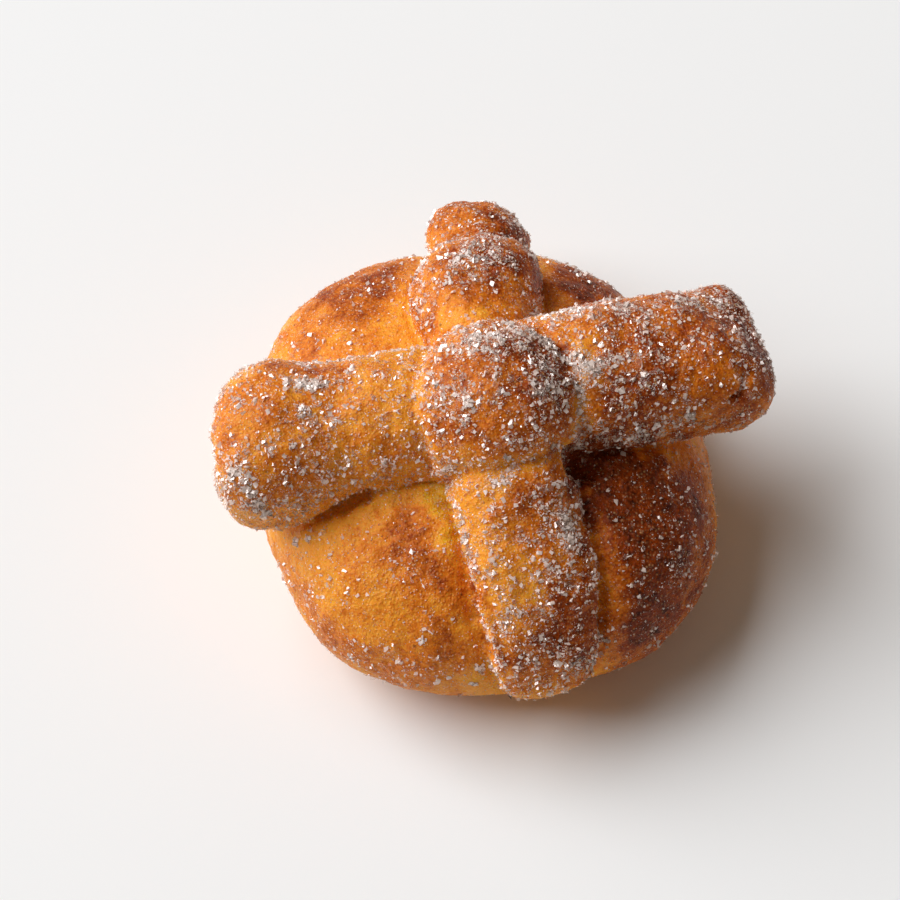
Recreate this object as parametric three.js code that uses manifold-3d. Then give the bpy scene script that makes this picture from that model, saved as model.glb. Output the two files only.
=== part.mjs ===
// Pan de muerto: a small sweet bun with four bone-shaped rolls of dough baked onto it and a ball of
// dough where they meet, all coated with coarse sugar. Millimetres, +Z up. The bun stands on z = 0.
// The origin is on its underside, below the ball. The left and right bones lie along X, and -Y is
// the front.

import * as THREE from "three";
import { ImprovedNoise } from "three/addons/math/ImprovedNoise.js";
import { mergeVertices } from "three/addons/utils/BufferGeometryUtils.js";
import Module from "manifold-3d";

// Driving dimensions, in millimetres and degrees.

// The bun is widest a third of the way up, and its dough swells out in the quarters between the
// bones. quarterSwell and quarterRise are that swelling as shares of the radius and of the dome's rise,
// counter-clockwise from back right.
const bun = {
  name: "bun",
  width: 71.2,
  depth: 77.6,
  centre: [-0.9, 1.2],
  widestHeight: 13,
  domeRise: 20,
  undersideDrop: 15,
  domeSquareness: 2.4,
  undersideSquareness: 2.2,
  quarterSwell: [0.01, 0.07, 0.06, 0.1],
  quarterRise: [0.12, 0.14, 0.3, 0.2],
  segments: [48, 28],
};

const ball = {
  name: "ball",
  centre: [0.6, -2.3, 38.2],
  size: [29.6, 26.2, 24],
  turn: 8,
  segments: [26, 16],
};

// Each bone runs outwards from the middle along its heading, on an arc that dips from startDroop to
// endDroop. sway carries its end to its left, endSlant makes its left side longer than its right, and
// endSlope is the share of the height that its top loses towards its end, more on its left side.
// squareness shapes its section: 2 is an ellipse and more is squarer.
// halfWidths and halfHeights are [share of the length, size], eased from one to the next.
const bones = [
  {
    name: "bone_left",
    heading: 180.4,
    sideShift: 0.3,
    sway: -0.5,
    startHeight: 36.4,
    startDroop: 4.6,
    endDroop: 8.6,
    length: 42.4,
    endRound: 9,
    endSlant: 0.2,
    endSlope: 0,
    squareness: 2.3,
    halfWidths: [[0, 9.6], [0.5, 10.5], [0.8, 12.4], [1, 12]],
    halfHeights: [[0, 8.8], [0.5, 9.3], [0.8, 11.6], [1, 11.1]],
  },
  {
    name: "bone_right",
    heading: 2.4,
    sideShift: 0.2,
    sway: 1.8,
    startHeight: 36.7,
    startDroop: 1.9,
    endDroop: 8.9,
    length: 43.4,
    endRound: 11,
    endSlant: -0.05,
    endSlope: 0.5,
    squareness: 2.3,
    halfWidths: [[0, 10.4], [0.45, 11.2], [0.8, 11.6], [1, 13.8]],
    halfHeights: [[0, 9.7], [0.45, 10.4], [0.8, 10.5], [1, 11.1]],
  },
  {
    name: "bone_front",
    heading: 272,
    sideShift: 0.6,
    sway: 0,
    startHeight: 36.2,
    startDroop: 12,
    endDroop: 57,
    length: 46.2,
    endRound: 6,
    endSlant: 0,
    endSlope: 0,
    squareness: 2.9,
    halfWidths: [[0, 10], [0.4, 9.4], [0.68, 10.9], [0.8, 9.9], [0.93, 7.8], [1, 6.8]],
    halfHeights: [[0, 9.5], [0.45, 9.2], [0.75, 9], [1, 6.6]],
  },
  {
    name: "bone_back",
    heading: 88,
    sideShift: 0,
    sway: -4.8,
    startHeight: 36.4,
    startDroop: 6,
    endDroop: 44,
    length: 48.2,
    endRound: 6,
    endSlant: 0.25,
    endSlope: 0,
    squareness: 2.3,
    halfWidths: [[0.15, 7.8], [0.46, 10.8], [0.71, 7.3], [0.87, 8.4]],
    halfHeights: [[0.15, 7.6], [0.46, 10.9], [0.71, 4.4], [0.88, 7.4]],
  },
];
const boneSection = {
  endSquareness: 3.2,
  slopeRange: [0.68, 1.02],
  slopeSkew: 0.5,
  sides: 24,
  rings: 17,
  endRings: 6,
};

// The uneven rise of the dough: lumps of that spacing, that far out or in.
const lump = { spacing: 13, height: 0.8 };

// The largest sugar crystals, with their middles just under the crust. counts are those tried on each
// piece: one that would reach another piece is left off. heights run from -1 at the bottom of a round
// piece to 1 at its top, alongBone is a share of the length, and roundBone is a share of half a turn
// from a bone's left side over its top.
const sugar = {
  size: [1.1, 2.1],
  sunk: 0.25,
  clearance: 0.4,
  seed: 61,
  counts: { bun: 32, ball: 20, bone_left: 24, bone_right: 26, bone_front: 22, bone_back: 16 },
  heights: { bun: [-0.1, 0.97], ball: [0.1, 0.97] },
  alongBone: [0.36, 0.97],
  roundBone: [-0.15, 1.15],
};

// The pieces stay this far apart, and a shape that cuts a neighbour is this much larger.
const gap = 0.3;

// Corners of a mesh closer than this are one corner.
const cornerTolerance = 1e-4;

const crustGold = new THREE.MeshStandardMaterial({ color: 0xcf8038, roughness: 0.6, metalness: 0 });
const crustBrown = new THREE.MeshStandardMaterial({ color: 0xbd7040, roughness: 0.6, metalness: 0 });

const wasm = await Module();
wasm.setup();
const noise = new ImprovedNoise();
const upward = new THREE.Vector3(0, 0, 1);
const { degToRad, seededRandom, smoothstep, lerp, clamp } = THREE.MathUtils;

// Conversions between three.js geometry and solids.

function solidOf(geometry) {
  const bare = new THREE.BufferGeometry();
  bare.setAttribute("position", geometry.getAttribute("position"));
  bare.setIndex(geometry.index);
  const merged = mergeVertices(bare, cornerTolerance);
  const corners = merged.index.array;
  const triVerts = [];
  for (let i = 0; i < corners.length; i += 3) {
    const [a, b, c] = corners.slice(i, i + 3);
    if (a !== b && b !== c && c !== a) triVerts.push(a, b, c);
  }
  return new wasm.Manifold(
    new wasm.Mesh({
      numProp: 3,
      vertProperties: merged.getAttribute("position").array,
      triVerts: new Uint32Array(triVerts),
    }),
  );
}

function geometryOf(solid) {
  const mesh = solid.getMesh();
  const geometry = new THREE.BufferGeometry();
  geometry.setAttribute("position", new THREE.BufferAttribute(mesh.vertProperties, 3));
  geometry.setIndex(new THREE.BufferAttribute(mesh.triVerts, 1));
  geometry.computeVertexNormals();
  return geometry;
}

// The body that is left of a solid once the loose scraps of a cut are dropped.
function largestBody(solid) {
  return solid.decompose().reduce((a, b) => (b.volume() > a.volume() ? b : a));
}

function reshape(geometry, place) {
  const position = geometry.getAttribute("position");
  const point = new THREE.Vector3();
  for (let i = 0; i < position.count; i += 1) {
    place(point.fromBufferAttribute(position, i));
    position.setXYZ(i, point.x, point.y, point.z);
  }
  return geometry;
}

// Small formulas.

function signedPower(value, power) {
  return Math.sign(value) * Math.abs(value) ** power;
}

// The size at a share of the way along a list of [share, size].
function sizeAt(stations, share) {
  const last = stations.findIndex(([place]) => place >= share);
  if (last === 0) return stations[0][1];
  if (last < 0) return stations.at(-1)[1];
  const [[fromPlace, fromSize], [toPlace, toSize]] = [stations[last - 1], stations[last]];
  return lerp(fromSize, toSize, smoothstep(share, fromPlace, toPlace));
}

function lumpAt(point) {
  const { spacing, height } = lump;
  return height * noise.noise(point.x / spacing, point.y / spacing, point.z / spacing);
}

// Surface of the bun in a direction from its middle, with every radius larger by grow.
function bunPoint(direction, grow, target) {
  const upper = direction.z > 0;
  const power = 2 / (upper ? bun.domeSquareness : bun.undersideSquareness);
  const level = Math.hypot(direction.x, direction.y);
  const round = Math.atan2(direction.y, direction.x);
  const quarter = Math.floor((round + 2 * Math.PI) / (Math.PI / 2)) % 4;
  const betweenBones = (1 - Math.cos(4 * round)) / 2;
  const swell = 1 + bun.quarterSwell[quarter] * betweenBones;
  const puff = 1 + bun.quarterRise[quarter] * betweenBones * level ** 2;
  const reach = swell * level ** power;
  const rise = upper ? bun.domeRise * puff : bun.undersideDrop;
  const base = new THREE.Vector3(
    bun.centre[0] + (bun.width / 2) * reach * Math.cos(round),
    bun.centre[1] + (bun.depth / 2) * reach * Math.sin(round),
    bun.widestHeight + rise * signedPower(direction.z, power),
  );
  const out = direction.clone().normalize();
  target.copy(base).addScaledVector(out, lumpAt(base) + grow);
  target.z = Math.max(target.z, 0);
  return target;
}

function ballPoint(direction, grow, target) {
  const radii = new THREE.Vector3(...ball.size).divideScalar(2);
  const turn = degToRad(ball.turn);
  const base = direction.clone().multiply(radii).applyAxisAngle(upward, turn);
  base.add(new THREE.Vector3(...ball.centre));
  const out = direction.clone().applyAxisAngle(upward, turn);
  return target.copy(base).addScaledVector(out, lumpAt(base) + grow);
}

// Surface of a bone at a distance along it. fill is 1 on its body and shrinks to 0 over its end, and
// round is the angle about its length, from its left side over its top.
function bonePoint(bone, along, fill, round, grow, target) {
  const share = along / bone.length;
  const droop = degToRad(lerp(bone.startDroop, bone.endDroop, share));
  const start = degToRad(bone.startDroop);
  const bend = degToRad(bone.endDroop - bone.startDroop) / bone.length;
  const reach = (Math.sin(droop) - Math.sin(start)) / bend;
  const height = bone.startHeight + (Math.cos(droop) - Math.cos(start)) / bend;
  const power = 2 / bone.squareness;
  const side = sizeAt(bone.halfWidths, share) * fill * signedPower(Math.cos(round), power);
  const full = sizeAt(bone.halfHeights, share) * fill * signedPower(Math.sin(round), power);
  const skewed = share + (boneSection.slopeSkew * side) / bone.length;
  const slope = bone.endSlope * smoothstep(skewed, ...boneSection.slopeRange);
  const lift = full > 0 ? full * (1 - slope) : full;
  const heading = degToRad(bone.heading);
  const forward = new THREE.Vector3(Math.cos(heading), Math.sin(heading), 0);
  const leftward = new THREE.Vector3(-forward.y, forward.x, 0);
  const tip = Math.sqrt(1 - fill ** 2);
  const slant = bone.endSlant * side * clamp(2 * share - 1, 0, 1);
  const sideways = bone.sideShift + bone.sway * share ** 2 + side;
  const base = forward.clone().multiplyScalar(reach + lift * Math.sin(droop) + slant);
  base.addScaledVector(leftward, sideways);
  base.z = height + lift * Math.cos(droop);
  const out = leftward.clone().multiplyScalar(fill * Math.cos(round));
  out.addScaledVector(forward, fill * Math.sin(round) * Math.sin(droop) + tip * Math.cos(droop));
  out.z = fill * Math.sin(round) * Math.cos(droop) - tip * Math.sin(droop);
  return target.copy(base).addScaledVector(out.normalize(), lumpAt(base) + grow);
}

// How full a bone is at a distance along it: its end is rounded over endRound.
function fillAt(bone, along) {
  const { endSquareness } = boneSection;
  const into = clamp((along - bone.length + bone.endRound) / bone.endRound, 0, 1);
  return (1 - into ** endSquareness) ** (1 / endSquareness);
}

// Solids of the dough pieces.

function roundPiece(piece, surface, grow) {
  const sphere = new THREE.SphereGeometry(1, ...piece.segments).rotateX(Math.PI / 2);
  return solidOf(reshape(sphere, (point) => surface(point.clone().normalize(), grow, point)));
}

function bonePiece(bone, grow) {
  const { endSquareness, rings, endRings, sides } = boneSection;
  const bodyLength = bone.length - bone.endRound;
  const profile = [new THREE.Vector2(0, 0)];
  for (let i = 0; i <= rings; i += 1) profile.push(new THREE.Vector2(1, (bodyLength * i) / rings));
  for (let i = 1; i <= endRings; i += 1) {
    const turn = (i / endRings) * (Math.PI / 2);
    const along = bodyLength + bone.endRound * Math.sin(turn) ** (2 / endSquareness);
    profile.push(new THREE.Vector2(i === endRings ? 0 : fillAt(bone, along), along));
  }
  const lathe = new THREE.LatheGeometry(profile, sides);
  return solidOf(
    reshape(lathe, (point) => {
      const fill = Math.min(Math.hypot(point.x, point.z), 1);
      bonePoint(bone, point.y, fill, Math.atan2(point.z, -point.x), grow, point);
    }),
  );
}

const bunSolid = (grow) => roundPiece(bun, bunPoint, grow);
const ballSolid = (grow) => roundPiece(ball, ballPoint, grow);

// The bun is whole, the ball is pressed onto it, and each bone lies on the bun against the ball and
// the bones before it.
const dough = new Map();
dough.set(bun.name, bunSolid(0));
dough.set(ball.name, largestBody(ballSolid(0).subtract(bunSolid(gap))));
bones.forEach((bone, index) => {
  const earlier = bones.slice(0, index).map((other) => bonePiece(other, gap));
  const neighbours = [bunSolid(gap), ballSolid(gap), ...earlier];
  const cut = neighbours.reduce((left, other) => left.subtract(other), bonePiece(bone, 0));
  dough.set(bone.name, largestBody(cut));
});

// Sugar crystals: small boxes turned at random, spread evenly over the part of each piece that shows.

// Pairs that fill the unit square evenly: steps by powers of the plastic number.
const plastic = 1.3247179572447458;
function evenPair(index) {
  return [plastic ** -2, plastic ** -1].map((step) => (0.5 + index * step) % 1);
}

function roundSpot(piece, surface) {
  return (u, v, target) => {
    const rise = lerp(...sugar.heights[piece.name], v);
    const level = Math.sqrt(1 - rise ** 2);
    const round = 2 * Math.PI * u;
    const direction = new THREE.Vector3(level * Math.cos(round), level * Math.sin(round), rise);
    return surface(direction, -sugar.sunk, target);
  };
}

function boneSpot(bone) {
  return (u, v, target) => {
    const along = bone.length * lerp(...sugar.alongBone, v);
    const round = Math.PI * lerp(...sugar.roundBone, u);
    return bonePoint(bone, along, fillAt(bone, along), round, -sugar.sunk, target);
  };
}

const spots = new Map([
  [bun.name, roundSpot(bun, bunPoint)],
  [ball.name, roundSpot(ball, ballPoint)],
  ...bones.map((bone) => [bone.name, boneSpot(bone)]),
]);

function crystal(centre, seed, larger) {
  seededRandom(seed);
  const [least, most] = sugar.size;
  const side = () => lerp(least, most, seededRandom() ** 2);
  const angle = () => 2 * Math.PI * seededRandom();
  const sides = [side(), side(), side()].map((length) => length + larger);
  const box = new THREE.BoxGeometry(...sides).rotateX(angle()).rotateY(angle()).rotateZ(angle());
  return solidOf(box.translate(...centre));
}

let crystalSeed = sugar.seed;
const sugared = new Map(dough);
for (const [name, spot] of spots) {
  const others = [...sugared.keys()].filter((other) => other !== name);
  for (let i = 0; i < sugar.counts[name]; i += 1) {
    const centre = spot(...evenPair(i), new THREE.Vector3());
    crystalSeed += 1;
    const grain = crystal(centre, crystalSeed, 0);
    const room = crystal(centre, crystalSeed, 2 * sugar.clearance);
    const isClear = others.every((other) => room.intersect(sugared.get(other)).isEmpty());
    const sticks = !grain.intersect(dough.get(name)).isEmpty();
    if (isClear && sticks) sugared.set(name, sugared.get(name).add(grain));
  }
}

// The loaf: one mesh for each dough piece, with the crystals that stick to it.

const loaf = new THREE.Group();
for (const [name, solid] of sugared) {
  const crust = name === bun.name ? crustGold : crustBrown;
  const mesh = new THREE.Mesh(geometryOf(largestBody(solid)), crust);
  mesh.name = name;
  loaf.add(mesh);
}

export default loaf;
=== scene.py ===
import math
import bpy
import numpy as np
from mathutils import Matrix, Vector, noise
from mathutils.bvhtree import BVHTree


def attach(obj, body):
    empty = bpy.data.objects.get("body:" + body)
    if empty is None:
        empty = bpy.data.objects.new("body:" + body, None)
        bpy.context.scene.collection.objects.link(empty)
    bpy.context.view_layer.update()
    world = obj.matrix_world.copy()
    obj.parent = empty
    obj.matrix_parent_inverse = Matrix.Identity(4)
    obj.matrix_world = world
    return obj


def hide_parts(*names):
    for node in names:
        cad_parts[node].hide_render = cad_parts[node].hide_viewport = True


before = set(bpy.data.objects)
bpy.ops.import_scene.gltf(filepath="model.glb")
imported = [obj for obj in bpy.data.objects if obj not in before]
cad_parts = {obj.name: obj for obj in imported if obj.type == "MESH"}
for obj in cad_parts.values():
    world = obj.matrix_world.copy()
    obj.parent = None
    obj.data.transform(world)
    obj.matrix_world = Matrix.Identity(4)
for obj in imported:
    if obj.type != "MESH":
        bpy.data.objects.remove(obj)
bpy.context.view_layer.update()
mm = 0.001  # dough and sugar are worked out in millimetres, Blender is in metres
print("frame:", ", ".join(sorted(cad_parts)))


def hexToLinear(code):
    parts = [int(code[i:i + 2], 16) / 255 for i in (1, 3, 5)]
    return [c / 12.92 if c <= 0.04045 else ((c + 0.055) / 1.055) ** 2.4 for c in parts] + [1.0]


def ease(low, high, value):
    share = np.clip((value - low) / (high - low), 0, 1)
    return share * share * (3 - 2 * share)


def signedPower(value, power):
    return np.sign(value) * np.abs(value) ** power


def noiseAt(points, spacing, shift):
    places = (points / spacing + shift).tolist()
    return np.array([noise.noise(place) for place in places])


def addObject(name, mesh):
    piece = bpy.data.objects.new(name, mesh)
    bpy.context.scene.collection.objects.link(piece)
    return piece


def meshFrom(name, points, faces):
    mesh = bpy.data.meshes.new(name)
    mesh.from_pydata(points * mm, [], faces)
    return mesh


# Camera above the front, a long lens. Marks on the crust are found through the same view.
photoView = {
    "azimuth": -10.0, "elevation": 60.0, "distance": 450.0, "aim": (-5.57, 4.36, 14.92),
    "lens": 112.5, "sensor": 36.0, "pixels": 900,
}


def viewAxes(view):  # place of the camera, and its forward, right and up directions
    azimuth, elevation = math.radians(view["azimuth"]), math.radians(view["elevation"])
    level = math.cos(elevation)
    back = Vector((math.sin(azimuth) * level, -math.cos(azimuth) * level, math.sin(elevation)))
    right = Vector((math.cos(azimuth), math.sin(azimuth), 0))
    return Vector(view["aim"]) + back * view["distance"], -back, right, right.cross(-back)


def pixelRay(pixel, view):
    place, forward, right, up = viewAxes(view)
    half = view["sensor"] / 2 / view["lens"]
    across, down = (half * (2 * part / view["pixels"] - 1) for part in pixel)
    return place, forward + right * across - up * down


# The bun: a dome on a rounder underside, with the dough swelling out between the bones.
bunDough = {
    "width": 71.2,
    "depth": 77.6,
    "centre": (-0.9, 1.2),
    "widestHeight": 13.0,
    "domeRise": 20.0,
    "undersideDrop": 15.0,
    "domeSquareness": 2.4,
    "undersideSquareness": 2.2,
    "quarterSwell": (0.01, 0.07, 0.06, 0.1),  # share of the radius, counter-clockwise from back right
    "quarterRise": (0.12, 0.14, 0.3, 0.2),  # share of the dome's rise
    "rings": 110,
    "sides": 220,
}

ballDough = {
    "centre": (0.6, -2.3, 38.2),
    "size": (29.6, 26.2, 24.0),
    "turn": 8.0,
    "rings": 60,
    "sides": 90,
}

# The bones run out from the middle on arcs that dip from startDroop to endDroop.
# halfWidths and halfHeights are (share of the length, size), eased from one to the next.
boneDough = {
    "bone_left": {
        "heading": 180.4, "sideShift": 0.3, "sway": -0.5, "startHeight": 36.4, "squareness": 2.3,
        "startDroop": 4.6, "endDroop": 8.6, "length": 42.4,
        "endRound": 9.0, "endSlant": 0.2, "endSlope": 0.0,
        "halfWidths": ((0, 9.6), (0.5, 10.5), (0.8, 12.4), (1, 12)),
        "halfHeights": ((0, 8.8), (0.5, 9.3), (0.8, 11.6), (1, 11.1)),
    },
    "bone_right": {
        "heading": 2.4, "sideShift": 0.2, "sway": 1.8, "startHeight": 36.7, "squareness": 2.3,
        "startDroop": 1.9, "endDroop": 8.9, "length": 43.4,
        "endRound": 11.0, "endSlant": -0.05, "endSlope": 0.5,
        "halfWidths": ((0, 10.4), (0.45, 11.2), (0.8, 11.6), (1, 13.8)),
        "halfHeights": ((0, 9.7), (0.45, 10.4), (0.8, 10.5), (1, 11.1)),
    },
    "bone_front": {
        "heading": 272.0, "sideShift": 0.6, "sway": 0.0, "startHeight": 36.2, "squareness": 2.9,
        "startDroop": 12.0, "endDroop": 57.0, "length": 46.2,
        "endRound": 6.0, "endSlant": 0.0, "endSlope": 0.0,
        "halfWidths": ((0, 10), (0.4, 9.4), (0.68, 10.9), (0.8, 9.9), (0.93, 7.8), (1, 6.8)),
        "halfHeights": ((0, 9.5), (0.45, 9.2), (0.75, 9), (1, 6.6)),
    },
    "bone_back": {
        "heading": 88.0, "sideShift": 0.0, "sway": -4.8, "startHeight": 36.4, "squareness": 2.3,
        "startDroop": 6.0, "endDroop": 44.0, "length": 48.2,
        "endRound": 6.0, "endSlant": 0.25, "endSlope": 0.0,
        "halfWidths": ((0.15, 7.8), (0.46, 10.8), (0.71, 7.3), (0.87, 8.4)),
        "halfHeights": ((0.15, 7.6), (0.46, 10.9), (0.71, 4.4), (0.88, 7.4)),
    },
}
boneSection = {
    "endSquareness": 3.2, "slopeRange": (0.68, 1.02), "slopeSkew": 0.5,
    "rings": 90, "endRings": 24, "sides": 90,
}


def directionGrid(rings, sides):
    rise = np.linspace(-math.pi / 2, math.pi / 2, rings + 1)[:, None]
    around = np.linspace(0, 2 * math.pi, sides, endpoint=False)[None, :]
    level = np.cos(rise)
    return np.stack([level * np.cos(around), level * np.sin(around), np.sin(rise) + 0 * around], -1)


def bunSurface(dough):
    direction = directionGrid(dough["rings"], dough["sides"])
    upper = direction[..., 2] > 0
    power = 2 / np.where(upper, dough["domeSquareness"], dough["undersideSquareness"])
    around = np.arctan2(direction[..., 1], direction[..., 0])
    quarter = np.floor((around + 2 * math.pi) / (math.pi / 2)).astype(int) % 4
    betweenBones = (1 - np.cos(4 * around)) / 2
    level = np.hypot(direction[..., 0], direction[..., 1])
    reach = (1 + np.array(dough["quarterSwell"])[quarter] * betweenBones) * level ** power
    puff = 1 + np.array(dough["quarterRise"])[quarter] * betweenBones * level ** 2
    rise = np.where(upper, dough["domeRise"] * puff, dough["undersideDrop"])
    x = dough["centre"][0] + dough["width"] / 2 * reach * np.cos(around)
    y = dough["centre"][1] + dough["depth"] / 2 * reach * np.sin(around)
    z = dough["widestHeight"] + rise * signedPower(direction[..., 2], power)
    return np.stack([x, y, np.maximum(z, 0)], -1)


def ballSurface(dough):
    local = directionGrid(dough["rings"], dough["sides"]) * np.array(dough["size"]) / 2
    turn = math.radians(dough["turn"])
    x = local[..., 0] * math.cos(turn) - local[..., 1] * math.sin(turn)
    y = local[..., 0] * math.sin(turn) + local[..., 1] * math.cos(turn)
    return np.stack([x, y, local[..., 2]], -1) + np.array(dough["centre"])


def sizeAlong(stations, share):
    places, sizes = np.array(stations, float).T
    last = np.clip(np.searchsorted(places, share), 1, len(places) - 1)
    part = ease(places[last - 1], places[last], share)
    return sizes[last - 1] + (sizes[last] - sizes[last - 1]) * part


def boneSurface(dough):
    bodyLength = dough["length"] - dough["endRound"]
    turn = np.linspace(0, math.pi / 2, boneSection["endRings"] + 1)[1:]
    tip = dough["endRound"] * np.sin(turn) ** (2 / boneSection["endSquareness"])
    along = np.concatenate([[0], np.linspace(0, bodyLength, boneSection["rings"]), bodyLength + tip])
    into = np.clip((along - bodyLength) / dough["endRound"], 0, 1)
    fill = (1 - into ** boneSection["endSquareness"]) ** (1 / boneSection["endSquareness"])
    fill[0] = 0
    along, fill = along[:, None], fill[:, None]
    around = np.linspace(0, 2 * math.pi, boneSection["sides"], endpoint=False)[None, :]
    share = along / dough["length"]
    start, end = math.radians(dough["startDroop"]), math.radians(dough["endDroop"])
    droop = start + (end - start) * share
    bend = (end - start) / dough["length"]
    reach = (np.sin(droop) - math.sin(start)) / bend
    height = dough["startHeight"] + (np.cos(droop) - math.cos(start)) / bend
    power = 2 / dough["squareness"]
    side = sizeAlong(dough["halfWidths"], share) * fill * signedPower(np.cos(around), power)
    lift = sizeAlong(dough["halfHeights"], share) * fill * signedPower(np.sin(around), power)
    skewed = share + boneSection["slopeSkew"] * side / dough["length"]
    slope = dough["endSlope"] * ease(*boneSection["slopeRange"], skewed)
    lift = np.where(lift > 0, lift * (1 - slope), lift)
    slant = dough["endSlant"] * side * np.clip(2 * share - 1, 0, 1)
    forward = reach + lift * np.sin(droop) + slant
    sideways = dough["sideShift"] + dough["sway"] * share ** 2 + side
    heading = math.radians(dough["heading"])
    x = forward * math.cos(heading) - sideways * math.sin(heading)
    y = forward * math.sin(heading) + sideways * math.cos(heading)
    return np.stack([x, y, height + lift * np.cos(droop)], -1)


def closedSkin(rows):  # first and last rows shrink to a point
    count, sides = rows.shape[0] - 2, rows.shape[1]
    points = np.concatenate([rows[0, :1], rows[1:-1].reshape(-1, 3), rows[-1, :1]])
    here = np.arange(sides)
    beside = (here + 1) % sides
    faces = [(0, 1 + b, 1 + a) for a, b in zip(here, beside)]
    for ring in range(count - 1):
        low, high = 1 + ring * sides, 1 + (ring + 1) * sides
        faces += [(low + a, low + b, high + b, high + a) for a, b in zip(here, beside)]
    low, last = 1 + (count - 1) * sides, len(points) - 1
    faces += [(low + a, low + b, last) for a, b in zip(here, beside)]
    return points, faces


doughSkins = {"bun": closedSkin(bunSurface(bunDough)), "ball": closedSkin(ballSurface(ballDough))}
doughSkins.update({name: closedSkin(boneSurface(dough)) for name, dough in boneDough.items()})
print("dough pieces:", {name: len(skin[0]) for name, skin in doughSkins.items()})

# All the dough bakes together into one crust, rounded off where two pieces meet.
crustMake = {"voxel": 0.42, "seamSmooth": 6, "seamPull": 0.5, "seamReach": (0.5, 2.6)}


def fuseDough(skins, voxel):
    points, faces, first = [], [], 0
    for skinPoints, skinFaces in skins.values():
        points.append(skinPoints)
        faces += [[corner + first for corner in face] for face in skinFaces]
        first += len(skinPoints)
    rough = addObject("dough_fused", meshFrom("dough_fused", np.concatenate(points), faces))
    fuse = rough.modifiers.new("fuse", "REMESH")
    fuse.mode = "VOXEL"
    fuse.voxel_size = voxel * mm
    ready = rough.evaluated_get(bpy.context.evaluated_depsgraph_get())
    mesh = bpy.data.meshes.new_from_object(ready)
    bpy.data.objects.remove(rough)
    mesh.name = "crust"
    return mesh


def readPoints(mesh):
    flat = np.zeros(len(mesh.vertices) * 3)
    mesh.vertices.foreach_get("co", flat)
    return flat.reshape(-1, 3) / mm


def writePoints(mesh, points):
    mesh.vertices.foreach_set("co", (points * mm).ravel())
    mesh.update()


def readNormals(mesh):
    flat = np.zeros(len(mesh.vertices) * 3)
    mesh.vertex_normals.foreach_get("vector", flat)
    return flat.reshape(-1, 3)


def readEdges(mesh):
    flat = np.zeros(len(mesh.edges) * 2, int)
    mesh.edges.foreach_get("vertices", flat)
    return flat.reshape(-1, 2)


def smoothPoints(points, edges, weight, rounds):
    ends, others = np.concatenate([edges, edges[:, ::-1]]).T
    degree = np.bincount(ends, minlength=len(points))[:, None]
    for _ in range(rounds):
        total = np.stack([np.bincount(ends, points[others, i], len(points)) for i in range(3)], -1)
        points = points + weight[:, None] * (total / degree - points)
    return points


crustMesh = fuseDough(doughSkins, crustMake["voxel"])
points = readPoints(crustMesh)
edges = readEdges(crustMesh)
pieceNames = list(doughSkins)
gaps = np.zeros((len(pieceNames), len(points)))
for index, name in enumerate(pieceNames):
    tree = BVHTree.FromPolygons(doughSkins[name][0].tolist(), doughSkins[name][1])
    gaps[index] = [tree.find_nearest(point)[3] for point in points.tolist()]
owner = gaps.argmin(0)
seamGap = np.sort(gaps, 0)[1]  # how far the next piece of dough is
print("crust:", len(points), "points,", len(crustMesh.polygons), "faces")

seamWeight = crustMake["seamPull"] * (1 - ease(*crustMake["seamReach"], seamGap))
points = smoothPoints(points, edges, seamWeight, crustMake["seamSmooth"])
writePoints(crustMesh, points)
normals = readNormals(crustMesh)
crustTree = BVHTree.FromPolygons(points.tolist(), [list(face.vertices) for face in crustMesh.polygons])


def spotOnCrust(pixel):
    return np.array(crustTree.ray_cast(*pixelRay(pixel, photoView))[0])


# Marks have uneven edges. The unevenness grows with the reach of a mark, but not past most.
markWander = {"spacing": 2.6, "share": 0.9, "most": 5.0, "shifts": (3.1, 29.7, 53.9)}
wander = np.stack([noiseAt(points, markWander["spacing"], shift) for shift in markWander["shifts"]], -1)


def nearMark(mark):  # 1 on a spot, or on the line through several, fading over its reach
    spots = [spotOnCrust(pixel) for pixel in mark["pixels"]]
    places = points + wander * markWander["share"] * min(mark["reach"], markWander["most"])
    nearest = np.linalg.norm(places - spots[0], axis=1)
    for start, end in zip(spots, spots[1:]):
        line = end - start
        along = np.clip((places - start) @ line / np.dot(line, line), 0, 1)
        nearest = np.minimum(nearest, np.linalg.norm(places - start - along[:, None] * line, axis=1))
    return np.exp(-(nearest / mark["reach"]) ** 2)


# Relief of the crust: (spacing, height) from the uneven rise of the dough down to its pebbly skin.
crustRelief = {"lumps": (13.0, 0.7), "dents": (5.2, 0.5), "crags": (2.4, 0.28), "pebbles": (1.1, 0.17)}
bunCalm = {"lumps": 1.0, "dents": 0.55, "crags": 0.55, "pebbles": 0.9}  # the bun is smoother
reliefShift = 17.3  # keeps the kinds of relief from lining up
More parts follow.
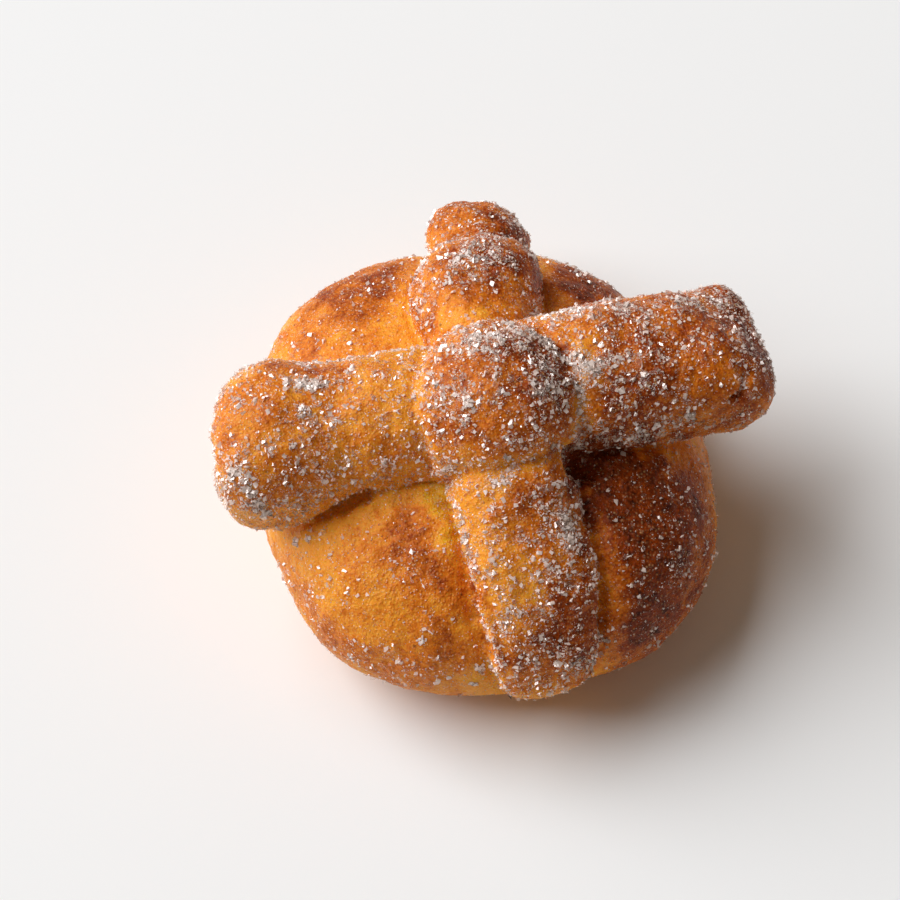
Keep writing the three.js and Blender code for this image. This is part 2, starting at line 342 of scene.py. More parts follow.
# Folds that the photo shows: height in mm, below 0 where the dough gapes.
foldMarks = {
    "leftNotch": {"height": -1.3, "reach": 0.9, "pixels": ((320, 515), (345, 508), (366, 497))},
    "frontPocket": {"height": -2.4, "reach": 1.7, "pixels": ((571, 461), (588, 468))},
    "frontSlit": {"height": -1.3, "reach": 1.2, "pixels": ((596, 520), (604, 575), (605, 620))},
    "frontGroove": {
        "height": -1.0, "reach": 1.2,
        "pixels": ((449, 505), (461, 540), (468, 575), (475, 610), (490, 652)),
    },
    "backFold": {"height": 0.5, "reach": 0.45, "pixels": ((443, 330), (453, 328), (463, 332), (464, 341))},
    "backLip": {"height": 0.45, "reach": 0.6, "pixels": ((411, 288), (413, 309), (424, 329), (438, 343))},
    "ballSkinRight": {"height": 0.4, "reach": 0.4, "pixels": ((556, 332), (567, 345), (574, 355))},
    "ballSkinLeft": {"height": 0.35, "reach": 0.4, "pixels": ((428, 360), (440, 352))},
    "rightCrevice": {"height": -0.9, "reach": 0.7, "pixels": ((731, 399), (741, 390), (747, 373))},
    "frontLip": {
        "height": 0.85, "reach": 0.7,
        "pixels": ((453, 492), (466, 533), (475, 572), (495, 643), (505, 686)),
    },
    "frontPit": {"height": -0.8, "reach": 0.9, "pixels": ((572, 583),)},
}
foldRagged = {"spacing": 1.4, "share": 0.8, "shift": 5.9}  # folds are ragged along their length
seamCrease = {"bunDepth": 0.8, "ballDepth": 0.4, "reach": 1.4}  # deep where a bone lies on the bun
# Here the bun grew up to the left bone.
seamGrown = {"height": 0.8, "reach": 3.0, "pixels": ((384, 492), (406, 485), (430, 476))}
onBun = (owner == pieceNames.index("bun")).astype(float)
bunGap = gaps[pieceNames.index("bun")]
bySeam = np.where(bunGap <= seamGap, seamCrease["bunDepth"], seamCrease["ballDepth"])
grown = nearMark(seamGrown)
relief = seamGrown["height"] * grown - bySeam * (1 - grown) * (1 - ease(0, seamCrease["reach"], seamGap))
for order, (kind, (spacing, height)) in enumerate(crustRelief.items()):
    calm = 1 - (1 - bunCalm[kind]) * onBun
    relief += height * calm * noiseAt(points, spacing, reliefShift * (order + 1))
ragged = 1 + foldRagged["share"] * noiseAt(points, foldRagged["spacing"], foldRagged["shift"])
for mark in foldMarks.values():
    relief += mark["height"] * nearMark(mark) * ragged
points = points + normals * relief[:, None]
points[:, 2] = np.maximum(points[:, 2], 0)
writePoints(crustMesh, points)
normals = readNormals(crustMesh)
crustMesh.shade_smooth()

# Baking and painted shade: 0 is pale dough that stretched open at the seams, 1 the darkest brown.
bakeShares = {
    "bun": 0.44, "ball": 0.65, "bone_left": 0.43, "bone_right": 0.6, "bone_front": 0.45, "bone_back": 0.61,
}
# Most of these marks are browning; the ones noted below darken crust that lies in shade, which is painted
# shade.
bakeAndShadeMarks = {
    "ballLeftRim": {"change": -0.26, "reach": 1.7, "pixels": ((419, 385), (412, 415), (428, 447))},
    "ballFrontRim": {"change": -0.2, "reach": 1.3, "pixels": ((480, 470), (516, 466), (540, 456))},
    "frontLip": {"change": 0.2, "reach": 1.6, "pixels": ((453, 492), (466, 533), (475, 572), (498, 659))},
    "frontGold": {"change": -0.16, "reach": 4.5, "pixels": ((473, 487), (488, 604), (513, 596))},
    "leftEnd": {"change": 0.1, "reach": 3.0, "pixels": ((222, 405), (220, 440))},
    "backGold": {"change": -0.2, "reach": 4.5, "pixels": ((466, 320), (428, 293))},
    "backTipGold": {"change": -0.1, "reach": 3.5, "pixels": ((439, 222),)},
    # painted shade: darkens the pocket beside the back bone
    "backPocket": {"change": 0.16, "reach": 3.5, "pixels": ((411, 334), (425, 338))},
    "frontValley": {"change": -0.22, "reach": 3.6, "pixels": ((440, 496), (450, 522))},
    "leftTop": {"change": 0.2, "reach": 4.0, "pixels": ((287, 364), (307, 368), (332, 378))},
    "leftFoot": {"change": 0.22, "reach": 3.5, "pixels": ((225, 470), (240, 497))},
    "leftMiddle": {"change": 0.14, "reach": 4.0, "pixels": ((279, 479), (315, 470))},
    "ballTop": {"change": 0.3, "reach": 4.5, "pixels": ((530, 353), (556, 360), (563, 376))},
    "frontTop": {"change": 0.02, "reach": 4.5, "pixels": ((530, 500), (525, 545))},
    "frontFoot": {"change": 0.14, "reach": 4.0, "pixels": ((572, 583), (568, 640), (528, 660))},
    "frontTip": {"change": 0.2, "reach": 2.0, "pixels": ((509, 686),)},
    "backBrow": {"change": 0.25, "reach": 4.0, "pixels": ((509, 262),)},
    "backTipShade": {"change": 0.3, "reach": 4.0, "pixels": ((513, 230), (520, 239))},
    # painted shade: darkens the hole under the right bone, beside the front bone
    "frontPocket": {"change": 0.7, "reach": 5.0, "pixels": ((576, 464), (592, 466), (608, 470))},
    # browner crust, and painted shade on the side of the bun turned away from the window
    "bunRight": {"change": 0.5, "reach": 15.0, "pixels": ((636, 505), (660, 575), (640, 620))},
    "bunRim": {"change": 0.14, "reach": 6.0, "pixels": ((413, 676), (367, 660), (312, 606))},
    # painted shade: darkens the bun right of the back bone, which blocks the window there
    "bunBackRight": {"change": 0.56, "reach": 7.0, "pixels": ((560, 284), (590, 288))},
    # painted shade: darkens the bun under the right bone
    "underRightBonePaintedShade": {"change": 0.3, "reach": 6.0, "pixels": ((612, 480), (632, 486))},
    "bunMiddle": {"change": 0.28, "reach": 5.0, "pixels": ((405, 530), (428, 548))},
    # painted shade: darkens the valley beside the front bone
    "bunCreasePaintedShade": {"change": 0.38, "reach": 3.4, "pixels": ((461, 570), (463, 595), (456, 632), (470, 660))},
    "rightFlank": {"change": -0.2, "reach": 3.2, "pixels": ((602, 438), (642, 430), (692, 420))},
    # darker crust, and painted shade on the end of the right bone that turns away from the window
    "rightEnd": {"change": 0.3, "reach": 5.0, "pixels": ((735, 312), (756, 350))},
    "bunBack": {"change": 0.33, "reach": 9.0, "pixels": ((345, 298), (392, 278))},
}
# Seams that opened late in the oven: yellow, and the one beside the ball pale.
openSeams = {
    "ballRight": {
        "change": -0.34, "reach": 2.0,
        "pixels": ((578, 345), (585, 365), (580, 412), (572, 440)),
    },
    "frontLeft": {"change": -0.15, "reach": 2.6, "pixels": ((436, 484), (443, 500), (453, 524))},
}
bakeLimits = {"bun": (0.3, 0.88), "bones": (0.4, 0.88)}
bakeTone = {
    "topDarker": 0.14, "topFrom": 0.4,  # the bones are darker on top
    "seamPaler": 0.12, "bunSeamPaler": 0.16, "seamReach": (0.5, 6.0),  # dough is paler by the seams
    "patches": (8.5, 0.13, 91.7), "spots": (3.4, 0.11, 47.1),  # spacing, share and shift of the noise
}
seam = 1 - ease(*bakeTone["seamReach"], seamGap)
upward = normals[:, 2]
bake = np.array([bakeShares[name] for name in pieceNames])[owner]
bake += bakeTone["topDarker"] * (upward - bakeTone["topFrom"]) * (1 - onBun)
for spacing, share, shift in (bakeTone["patches"], bakeTone["spots"]):
    bake += share * noiseAt(points, spacing, shift)
bake -= (bakeTone["seamPaler"] + bakeTone["bunSeamPaler"] * onBun) * seam
for mark in bakeAndShadeMarks.values():
    bake += mark["change"] * nearMark(mark)
bake = np.where(onBun > 0, np.clip(bake, *bakeLimits["bun"]), np.clip(bake, *bakeLimits["bones"]))
for mark in openSeams.values():
    bake += mark["change"] * nearMark(mark)


def addAttribute(mesh, name, values, domain="POINT"):
    mesh.attributes.new(name, "FLOAT", domain).data.foreach_set("value", values.astype(np.float32))


# Sugar sticks in patches to what faces up or sideways, much more to the ball and the bones than to the bun.
sugarShares = {
    "bun": 0.2, "ball": 0.95, "bone_left": 0.95, "bone_right": 0.9, "bone_front": 0.9, "bone_back": 0.65,
}
sugarMarks = {
    "leftClump": {"gain": 9.0, "reach": 1.0, "pixels": ((300, 386), (317, 384))},
    "leftTrail": {"gain": 7.0, "reach": 1.2, "pixels": ((306, 414), (321, 407), (335, 420))},
    "leftFoot": {"gain": 2.2, "reach": 2.4, "pixels": ((238, 478), (257, 500), (286, 502))},
    "ballTop": {"gain": 3.0, "reach": 2.0, "pixels": ((468, 353), (502, 332), (523, 328), (546, 338))},
    "ballFront": {"gain": 1.2, "reach": 2.2, "pixels": ((438, 393), (467, 402))},
    "ballLeftRim": {"gain": 0.8, "reach": 2.2, "pixels": ((419, 385), (412, 415), (428, 447), (452, 464))},
    "ballRight": {"gain": 1.6, "reach": 2.6, "pixels": ((543, 378), (553, 396))},
    "ballSeam": {"gain": 2.6, "reach": 1.5, "pixels": ((578, 345), (585, 365), (580, 412), (572, 440))},
    "rightTop": {"gain": 1.5, "reach": 2.4, "pixels": ((583, 316), (636, 304), (693, 300))},
    "rightFlank": {"gain": 1.0, "reach": 3.0, "pixels": ((602, 438), (642, 430), (692, 420))},
    "rightEnd": {"gain": -0.4, "reach": 4.0, "pixels": ((722, 325), (745, 331), (760, 369), (765, 393))},
    "rightMiddle": {"gain": 0.8, "reach": 3.5, "pixels": ((620, 366), (652, 368), (676, 358))},
    "frontRight": {
        "gain": 3.0, "reach": 2.4,
        "pixels": ((549, 508), (567, 527), (564, 549), (553, 571), (547, 598)),
    },
    "frontFoot": {"gain": 0.8, "reach": 2.8, "pixels": ((545, 640), (577, 650), (551, 672))},
    "frontTop": {"gain": 2.6, "reach": 1.1, "pixels": ((488, 480), (503, 477), (520, 469), (538, 460))},
    "frontLip": {
        "gain": 3.0, "reach": 0.9,
        "pixels": ((453, 492), (466, 533), (475, 572), (495, 643), (505, 684)),
    },
    "frontMiddle": {"gain": 0.8, "reach": 4.0, "pixels": ((498, 570), (520, 602))},
    "frontUpperBare": {"gain": -0.7, "reach": 3.0, "pixels": ((505, 500), (525, 512))},
    "backTop": {"gain": 1.8, "reach": 2.2, "pixels": ((455, 262), (481, 248), (503, 252))},
    "bunRight": {"gain": 0.4, "reach": 5.0, "pixels": ((641, 566), (665, 585), (687, 545))},
    "leftRidgeBare": {
        "gain": -0.8, "reach": 2.4,
        "pixels": ((262, 366), (300, 368), (345, 368), (380, 358)),
    },
    "leftEndBare": {"gain": -0.6, "reach": 4.0, "pixels": ((228, 400), (226, 440))},
    "rightBare": {"gain": -0.9, "reach": 3.2, "pixels": ((727, 357), (705, 372), (722, 388))},
    "backBare": {"gain": -0.7, "reach": 4.2, "pixels": ((440, 310), (466, 318))},
    "backPocketBare": {"gain": -0.9, "reach": 3.0, "pixels": ((411, 334), (425, 338))},
    "frontPocketBare": {"gain": -0.9, "reach": 4.0, "pixels": ((592, 466), (608, 470), (625, 490))},
    "valleyBare": {"gain": -0.95, "reach": 2.6, "pixels": ((461, 570), (463, 595), (456, 632))},
    "bunBackRightBare": {"gain": -0.6, "reach": 6.0, "pixels": ((560, 284), (590, 288))},
    "leftMiddle": {"gain": 0.5, "reach": 6.0, "pixels": ((240, 420), (290, 440))},
}
# facing: none holds where the crust faces as far down as the first value, all of it from the second on.
# dusted: the density that dusts the crust all over. patches: spacing, strength and shift of the noise.
sugarHold = {
    "facing": (-0.8, 0.2), "dusted": 2.5, "patches": ((6.5, 1.3, 133.9), (2.3, 1.5, 71.3)),
}
patchy = np.zeros(len(points))
for spacing, strength, shift in sugarHold["patches"]:
    patchy = patchy + strength * noiseAt(points, spacing, shift)
sugarDensity = np.array([sugarShares[name] for name in pieceNames])[owner]
sugarDensity *= ease(*sugarHold["facing"], upward)
sugarDensity *= np.exp(patchy)
for mark in sugarMarks.values():
    sugarDensity *= 1 + mark["gain"] * nearMark(mark)
addAttribute(crustMesh, "bake", bake)
addAttribute(crustMesh, "frost", np.clip(sugarDensity / sugarHold["dusted"], 0, 1))
crust = addObject("crust", crustMesh)
print("crust relief and baking done")

# whiteShare of the faces throw the light back white, the others are clear: cover is (clear, white).
# A higher fineness makes more of the smaller sizes. lean and sunk are shares.
crystalSugar = {
    "count": 14000, "size": (0.26, 0.66), "fineness": 1.8, "jitter": 0.16,
    "sunk": 0.45, "lean": 0.35, "seed": 31,
    "whiteShare": 0.34, "cover": (0.06, 0.74),
}
grainSugar = {
    "count": 40000, "size": (0.14, 0.32), "fineness": 1.8, "jitter": 0.14,
    "sunk": 0.4, "lean": 0.6, "seed": 57,
    "whiteShare": 0.5, "cover": (0.1, 0.7), "everywhere": 0.3,
}
flakeSugar = {
    "parts": 14, "partSize": 0.38, "spread": 0.34, "jitter": 0.16, "sunk": 0.3, "lean": 0.7, "seed": 83,
    "whiteShare": 0.6, "cover": (0.15, 0.75),
}
# Flakes of crystals stuck together, where the photo shows them: pixel and size.
sugarLumps = {
    "ballFront": ((467, 402), 1.4), "ballRight": ((568, 357), 0.9), "ballSide": ((567, 404), 0.9),
    "ballFoot": ((554, 447), 1.0), "ballLow": ((508, 458), 0.9), "ballBack": ((508, 322), 1.0),
    "leftTop": ((301, 387), 1.1), "leftTopNext": ((315, 385), 1.0), "leftSide": ((292, 445), 0.9),
    "leftFlake": ((259, 503), 1.3), "leftFlakeLow": ((266, 512), 1.2), "leftFlakeEnd": ((252, 495), 1.0),
    "rightLow": ((690, 415), 1.5), "backTop": ((455, 262), 0.9), "backSide": ((449, 283), 0.8),
    "frontTop": ((495, 482), 1.1), "frontSide": ((569, 523), 0.9), "bunLeft": ((296, 541), 1.3),
    "bunLeftNext": ((309, 540), 0.9), "bunFoot": ((479, 668), 1.3), "bunFootNext": ((474, 682), 0.9),
    "bunFront": ((421, 641), 0.9), "bunRim": ((353, 654), 0.9), "bunRight": ((606, 642), 0.9),
}
boxCorners = np.array([(x, y, z) for x in (-0.5, 0.5) for y in (-0.5, 0.5) for z in (-0.5, 0.5)])
boxFaces = np.array([(0, 1, 3, 2), (4, 6, 7, 5), (0, 4, 5, 1), (2, 3, 7, 6), (0, 2, 6, 4), (1, 5, 7, 3)])
chipHalf = 0.36  # a chip has four corners of a cube, this is half its side
chipCorners = chipHalf * np.array([(1, 1, 1), (1, -1, -1), (-1, 1, -1), (-1, -1, 1)])
chipFaces = np.array([(0, 1, 2), (0, 3, 1), (0, 2, 3), (1, 3, 2)])
sugarShape = {"sides": (0.6, 1.2), "lowest": 0.02}  # sides as shares of the size, lowest point in mm


def readTriangles(mesh):
    mesh.calc_loop_triangles()
    flat = np.zeros(len(mesh.loop_triangles) * 3, int)
    mesh.loop_triangles.foreach_get("vertices", flat)
    return flat.reshape(-1, 3)


def turnsFrom(draw, count):  # random rotation matrices
    w, x, y, z = draw.normal(size=(4, count))
    length = np.sqrt(w * w + x * x + y * y + z * z)
    w, x, y, z = w / length, x / length, y / length, z / length
    return np.stack([
        np.stack([1 - 2 * (y * y + z * z), 2 * (x * y - z * w), 2 * (x * z + y * w)], -1),
        np.stack([2 * (x * y + z * w), 1 - 2 * (x * x + z * z), 2 * (y * z - x * w)], -1),
        np.stack([2 * (x * z - y * w), 2 * (y * z + x * w), 1 - 2 * (x * x + y * y)], -1),
    ], 1)


def scatterPlaces(sugar, density, draw):
    triangles = readTriangles(crustMesh)
    a, b, c = (points[triangles[:, i]] for i in range(3))
    area = np.linalg.norm(np.cross(b - a, c - a), axis=1) / 2
    chance = area * density[triangles].mean(1)
    chosen = draw.choice(len(triangles), sugar["count"], p=chance / chance.sum())
    u, v = draw.random((2, sugar["count"]))
    flip = u + v > 1
    u, v = np.where(flip, 1 - u, u)[:, None], np.where(flip, 1 - v, v)[:, None]
    place = a[chosen] * (1 - u - v) + b[chosen] * u + c[chosen] * v
    least, most = sugar["size"]
    size = least + (most - least) * draw.random(sugar["count"]) ** sugar["fineness"]
    return place, normals[triangles[chosen]].mean(1), size


def flakePlaces(sugar, flakes, draw):
    spots = np.array([spotOnCrust(pixel) for pixel, size in flakes.values()])
    sizes = np.array([size for pixel, size in flakes.values()])
    spots, sizes = np.repeat(spots, sugar["parts"], 0), np.repeat(sizes, sugar["parts"])
    spots = spots + draw.normal(0, sugar["spread"], spots.shape) * sizes[:, None]
    nearest = [np.linalg.norm(points - spot, axis=1).argmin() for spot in spots]
    return points[nearest], normals[nearest], sizes * sugar["partSize"]


def sugarPiece(name, sugar, corners, faces, places, draw):
    place, out, size = places
    sides = size[:, None] * draw.uniform(*sugarShape["sides"], (len(size), 3))
    shape = corners[None] + draw.normal(0, sugar["jitter"], (len(size), len(corners), 3))
    shape = np.einsum("nij,nkj->nki", turnsFrom(draw, len(size)), shape * sides[:, None])
    # a clear crystal gathers light from above and spreads it, so the shading of its faces leans that way
    above = out + np.array((0, 0, 1))
    above /= np.linalg.norm(above, axis=1)[:, None]
    a, b, c = (shape[:, faces[:, i]] for i in range(3))
    facing = np.cross(b - a, c - a)
    facing /= np.linalg.norm(facing, axis=2)[..., None]
    shading = facing * (1 - sugar["lean"]) + above[:, None] * sugar["lean"]
    shading /= np.linalg.norm(shading, axis=2)[..., None]
    shading = np.repeat(shading.reshape(-1, 3), faces.shape[1], 0)
    shape += (place + out * (size * (0.5 - sugar["sunk"]))[:, None])[:, None]
    shape[..., 2] = np.maximum(shape[..., 2], sugarShape["lowest"])
    first = np.arange(len(size))[:, None, None] * len(corners)
    mesh = meshFrom(name, shape.reshape(-1, 3), (faces[None] + first).reshape(-1, faces.shape[1]))
    mesh.shade_smooth()
    mesh.normals_split_custom_set(shading.tolist())
    white = draw.random(len(mesh.polygons)) < sugar["whiteShare"]
    addAttribute(mesh, "cover", np.where(white, sugar["cover"][1], sugar["cover"][0]), "FACE")
    return addObject(name, mesh)


def makeCrystals():
    draw = np.random.default_rng(crystalSugar["seed"])
    places = scatterPlaces(crystalSugar, sugarDensity, draw)
    return sugarPiece("sugar_crystals", crystalSugar, boxCorners, boxFaces, places, draw)


def makeGrains():
    draw = np.random.default_rng(grainSugar["seed"])
    places = scatterPlaces(grainSugar, grainSugar["everywhere"] + sugarDensity, draw)
    return sugarPiece("sugar_grains", grainSugar, chipCorners, chipFaces, places, draw)


def makeFlakes():
    draw = np.random.default_rng(flakeSugar["seed"])
    places = flakePlaces(flakeSugar, sugarLumps, draw)
    return sugarPiece("sugar_flakes", flakeSugar, boxCorners, boxFaces, places, draw)


sugarCrystals = makeCrystals()
sugarGrains = makeGrains()
sugarFlakes = makeFlakes()
sugarPieces = (sugarCrystals, sugarGrains, sugarFlakes)
print("sugar faces:", {piece.name: len(piece.data.polygons) for piece in sugarPieces})


def addNode(tree, kind, settings, inputs):
    node = tree.nodes.new(kind)
    for key, value in settings.items():
        if key == "stops":
            ramp = node.color_ramp.elements
            while len(ramp) < len(value):
                ramp.new(0.5)
            for element, (place, code) in zip(ramp, value):
                element.position, element.color = place, hexToLinear(code)
        else:
            setattr(node, key, value)
    for key, value in inputs.items():
        if isinstance(value, bpy.types.NodeSocket):
            tree.links.new(value, node.inputs[key])
        else:
            node.inputs[key].default_value = value
    return node


def newMaterial(name):
    material = bpy.data.materials.new(name)
    material.use_nodes = True
    tree = material.node_tree
    tree.nodes.clear()
    shader = addNode(tree, "ShaderNodeBsdfPrincipled", {}, {})
    addNode(tree, "ShaderNodeOutputMaterial", {}, {"Surface": shader.outputs[0]})
    return material, tree, shader


def setInputs(node, values):
    for key, value in values.items():
        node.inputs[key].default_value = value


def perMetre(spacing):  # texture scale for a spacing in millimetres
    return 1 / (spacing * mm)


# Sweet bread crust, brushed with butter and baked: mottled gold to brown, a soft low gloss,
# and light that goes a little way into the dough.
crustLook = {
    "stops": (
        (0.0, "#efdcba"), (0.08, "#f0c060"), (0.17, "#e8a812"), (0.28, "#f0a032"), (0.4, "#ed992c"),
        (0.57, "#d87618"), (0.78, "#9a3e06"), (1.0, "#461202"),
    ),
    "mottle": {"spacing": 2.2, "detail": 4.0, "share": 0.4},  # patches that browned more
    "grain": {"spacing": 0.6, "detail": 3.0, "share": 0.5},  # pores of the skin
    "noiseRoughness": 0.6,
    "centre": 0.45,  # what mottle and grain add on average
    "speck": {"spacing": 5.0, "edge": (0.03, 0.075), "strength": 0.6, "colour": "#4a1c0c"},
    # sugar dust is finer than this spacing, it is drawn coarser so that it shows
    "dust": {
        "spacing": 0.5, "edge": (0.1, 0.5), "frost": 0.9, "range": (0.45, 1.5), "most": 0.75,
        "colour": "#f8c88c",
    },
    "roughness": (0.28, 0.5),
    "roughnessRange": (0.3, 0.7),
    "bump": {"mottle": 1.6, "dust": 0.55, "strength": 0.6, "height": 0.35},
    "subsurface": {"weight": 0.45, "radius": (1.0, 0.36, 0.12), "depth": 2.0},
    "specular": 0.15,
}


def crustMaterial(look):
    material, tree, shader = newMaterial("baked_butter_crust")
    place = addNode(tree, "ShaderNodeTexCoord", {}, {}).outputs["Object"]
    bakeAndShadeAt = addNode(tree, "ShaderNodeAttribute", {"attribute_name": "bake"}, {}).outputs["Fac"]
    frostAt = addNode(tree, "ShaderNodeAttribute", {"attribute_name": "frost"}, {}).outputs["Fac"]
    mottle, grain = (addNode(tree, "ShaderNodeTexNoise", {}, {
        "Vector": place, "Scale": perMetre(look[kind]["spacing"]), "Detail": look[kind]["detail"],
        "Roughness": look["noiseRoughness"]}) for kind in ("mottle", "grain"))
    uneven = addNode(tree, "ShaderNodeMath", {"operation": "MULTIPLY_ADD"}, {
        0: mottle.outputs["Fac"], 1: look["mottle"]["share"], 2: bakeAndShadeAt})
    uneven = addNode(tree, "ShaderNodeMath", {"operation": "MULTIPLY_ADD"}, {
        0: grain.outputs["Fac"], 1: look["grain"]["share"], 2: uneven.outputs[0]})
    centred = addNode(tree, "ShaderNodeMath", {"operation": "SUBTRACT"}, {
        0: uneven.outputs[0], 1: look["centre"]})
    colour = addNode(tree, "ShaderNodeValToRGB", {"stops": look["stops"]}, {"Fac": centred.outputs[0]})
    # pinholes: a small dark speck in each cell
    speck = look["speck"]
    cells = addNode(tree, "ShaderNodeTexVoronoi", {}, {
        "Vector": place, "Scale": perMetre(speck["spacing"])})
    pin = addNode(tree, "ShaderNodeMapRange", {}, {
        "Value": cells.outputs["Distance"], "From Min": speck["edge"][0], "From Max": speck["edge"][1],
        "To Min": speck["strength"], "To Max": 0.0})
    specked = addNode(tree, "ShaderNodeMix", {"data_type": "RGBA"}, {
        0: pin.outputs[0], 6: colour.outputs["Color"], 7: hexToLinear(speck["colour"])})
    # the finest sugar: a dot in each cell, paler in some cells and where sugar is thick
    dust = look["dust"]
    film = addNode(tree, "ShaderNodeTexVoronoi", {}, {
        "Vector": place, "Scale": perMetre(dust["spacing"])})
    dot = addNode(tree, "ShaderNodeMapRange", {}, {
        "Value": film.outputs["Distance"], "From Min": dust["edge"][0], "From Max": dust["edge"][1],
        "To Min": 1.0, "To Max": 0.0})
    cellShare = addNode(tree, "ShaderNodeSeparateColor", {}, {"Color": film.outputs["Color"]})
    sugared = addNode(tree, "ShaderNodeMath", {"operation": "MULTIPLY_ADD"}, {
        0: frostAt, 1: dust["frost"], 2: cellShare.outputs[0]})
    pale = addNode(tree, "ShaderNodeMapRange", {}, {
        "Value": sugared.outputs[0], "From Min": dust["range"][0], "From Max": dust["range"][1],
        "To Min": 0.0, "To Max": dust["most"]})
    dotted = addNode(tree, "ShaderNodeMath", {"operation": "MULTIPLY"}, {
        0: pale.outputs[0], 1: dot.outputs[0]})
    dusted = addNode(tree, "ShaderNodeMix", {"data_type": "RGBA"}, {
        0: dotted.outputs[0], 6: specked.outputs[2], 7: hexToLinear(dust["colour"])})
    tree.links.new(dusted.outputs[2], shader.inputs["Base Color"])
    gloss = addNode(tree, "ShaderNodeMapRange", {}, {
        "Value": mottle.outputs["Fac"],
        "From Min": look["roughnessRange"][0], "From Max": look["roughnessRange"][1],
        "To Min": look["roughness"][0], "To Max": look["roughness"][1]})
    tree.links.new(gloss.outputs[0], shader.inputs["Roughness"])
    height = addNode(tree, "ShaderNodeMath", {"operation": "MULTIPLY_ADD"}, {
        0: mottle.outputs["Fac"], 1: look["bump"]["mottle"], 2: grain.outputs["Fac"]})
    pebbled = addNode(tree, "ShaderNodeMath", {"operation": "MULTIPLY_ADD"}, {
        0: dot.outputs[0], 1: look["bump"]["dust"], 2: height.outputs[0]})
    bump = addNode(tree, "ShaderNodeBump", {}, {
        "Height": pebbled.outputs[0], "Strength": look["bump"]["strength"],
        "Distance": look["bump"]["height"] * mm})
    tree.links.new(bump.outputs[0], shader.inputs["Normal"])
    inside = look["subsurface"]
    setInputs(shader, {
        "Subsurface Weight": inside["weight"], "Subsurface Radius": inside["radius"],
        "Subsurface Scale": inside["depth"] * mm, "Specular IOR Level": look["specular"]})
    return material


# Cane sugar: hardly any colour, a little uneven, with chipped faces.
sugarLook = {
    "stops": ((0.3, "#ffe4d4"), (0.7, "#fff2ea")), "tint": "#fff6f0",
    "cloud": {"spacing": 1.6, "detail": 2.0},
    # real chips are finer, they are drawn coarser so that they show
    "chips": {"spacing": 0.3, "detail": 1.0, "strength": 0.4, "height": 0.1},
}
# Granulated: clear crystals, some faces flash white and the crust shows through the others.
# The IOR is above the 1.54 of sugar, for the light that a real crystal throws back from inside.
crystalLook = dict(sugarLook, roughness=0.2, ior=2.6)
# Broken fine or stuck together in flakes: many small faces scatter the light, so it looks less sharp.
brokenLook = dict(sugarLook, roughness=0.3, ior=2.0)


def sugarMaterial(name, look):
    material, tree, shader = newMaterial(name)
    place = addNode(tree, "ShaderNodeTexCoord", {}, {}).outputs["Object"]
    cloud = addNode(tree, "ShaderNodeTexNoise", {}, {
        "Vector": place, "Scale": perMetre(look["cloud"]["spacing"]), "Detail": look["cloud"]["detail"]})
    colour = addNode(tree, "ShaderNodeValToRGB", {"stops": look["stops"]}, {"Fac": cloud.outputs["Fac"]})
    tree.links.new(colour.outputs["Color"], shader.inputs["Base Color"])
    chips = addNode(tree, "ShaderNodeTexNoise", {}, {
        "Vector": place, "Scale": perMetre(look["chips"]["spacing"]), "Detail": look["chips"]["detail"]})
    bump = addNode(tree, "ShaderNodeBump", {}, {
        "Height": chips.outputs["Fac"], "Strength": look["chips"]["strength"],
        "Distance": look["chips"]["height"] * mm})
    tree.links.new(bump.outputs[0], shader.inputs["Normal"])
    cover = addNode(tree, "ShaderNodeAttribute", {"attribute_name": "cover"}, {})
    tree.links.new(cover.outputs["Fac"], shader.inputs["Alpha"])
    setInputs(shader, {
        "Roughness": look["roughness"], "IOR": look["ior"], "Specular Tint": hexToLinear(look["tint"])})
    return material


crust.data.materials.append(crustMaterial(crustLook))
sugarCrystals.data.materials.append(sugarMaterial("granulated_cane_sugar", crystalLook))
brokenSugar = sugarMaterial("broken_cane_sugar", brokenLook)
for piece in (sugarGrains, sugarFlakes):
    piece.data.materials.append(brokenSugar)

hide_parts(*pieceNames)
for piece in (crust, *sugarPieces):
    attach(piece, "root")

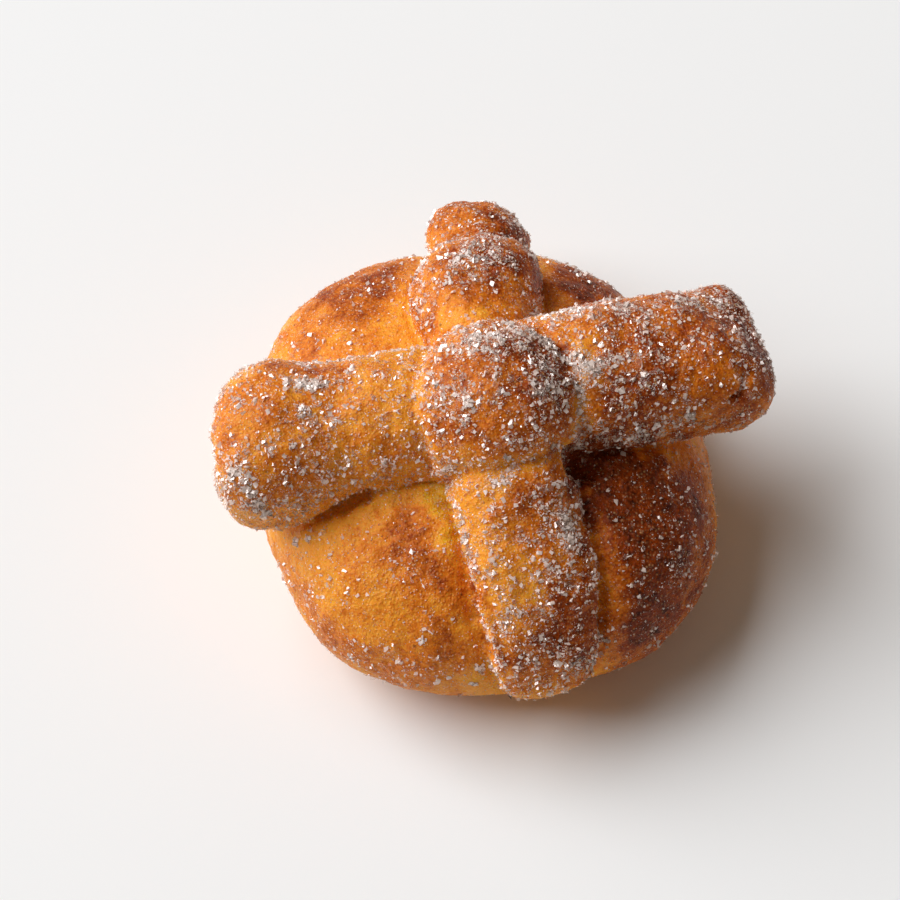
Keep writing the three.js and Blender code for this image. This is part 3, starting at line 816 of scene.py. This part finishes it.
# Floor: matt white paper, no gloss, so the shadow on it stays soft.
floorLook = {"side": 6000.0, "drop": 0.05, "colour": "#f2f1ef", "roughness": 0.9, "specular": 0.2}


def makeFloor(look):
    half = look["side"] / 2
    around = ((-half, -half), (half, -half), (half, half), (-half, half))
    corners = np.array([(x, y, -look["drop"]) for x, y in around])
    floor = addObject("floor", meshFrom("floor", corners, [(0, 1, 2, 3)]))
    material, _, shader = newMaterial("matt_white_paper")
    setInputs(shader, {
        "Base Color": hexToLinear(look["colour"]), "Roughness": look["roughness"],
        "Specular IOR Level": look["specular"]})
    floor.data.materials.append(material)
    return floor


makeFloor(floorLook)

# Soft light from a large window on the left, a little behind the loaf.
keyLight = {
    "direction": (-0.635, 0.338, 0.695), "distance": 4000.0, "aim": (0, 0, 15), "side": 3700.0,
    "watts": 262.0, "colour": "#f6faff",
}
fillLight = {"strength": 0.15, "colour": "#ffead2"}


def lookAt(thing, place, aim):
    thing.location = Vector(place) * mm
    thing.rotation_euler = (Vector(aim) - Vector(place)).to_track_quat("-Z", "Y").to_euler()


def makeLights():
    lamp = bpy.data.lights.new("window", "AREA")
    lamp.size = keyLight["side"] * mm
    lamp.energy = keyLight["watts"]
    lamp.color = hexToLinear(keyLight["colour"])[:3]
    window = addObject("window", lamp)
    lookAt(window, Vector(keyLight["direction"]).normalized() * keyLight["distance"], keyLight["aim"])
    world = bpy.data.worlds.new("room")
    world.use_nodes = True
    world.node_tree.nodes.clear()
    room = addNode(world.node_tree, "ShaderNodeBackground", {}, {
        "Color": hexToLinear(fillLight["colour"]), "Strength": fillLight["strength"]})
    addNode(world.node_tree, "ShaderNodeOutputWorld", {}, {"Surface": room.outputs[0]})
    bpy.context.scene.world = world


makeLights()


def makeCamera(view):
    lens = bpy.data.cameras.new("camera")
    lens.lens = view["lens"]
    lens.sensor_width = view["sensor"]
    camera = addObject("camera", lens)
    lookAt(camera, viewAxes(view)[0], view["aim"])
    bpy.context.scene.camera = camera


makeCamera(photoView)
bpy.context.scene.view_settings.view_transform = "Standard"
print("floor, light and camera done")
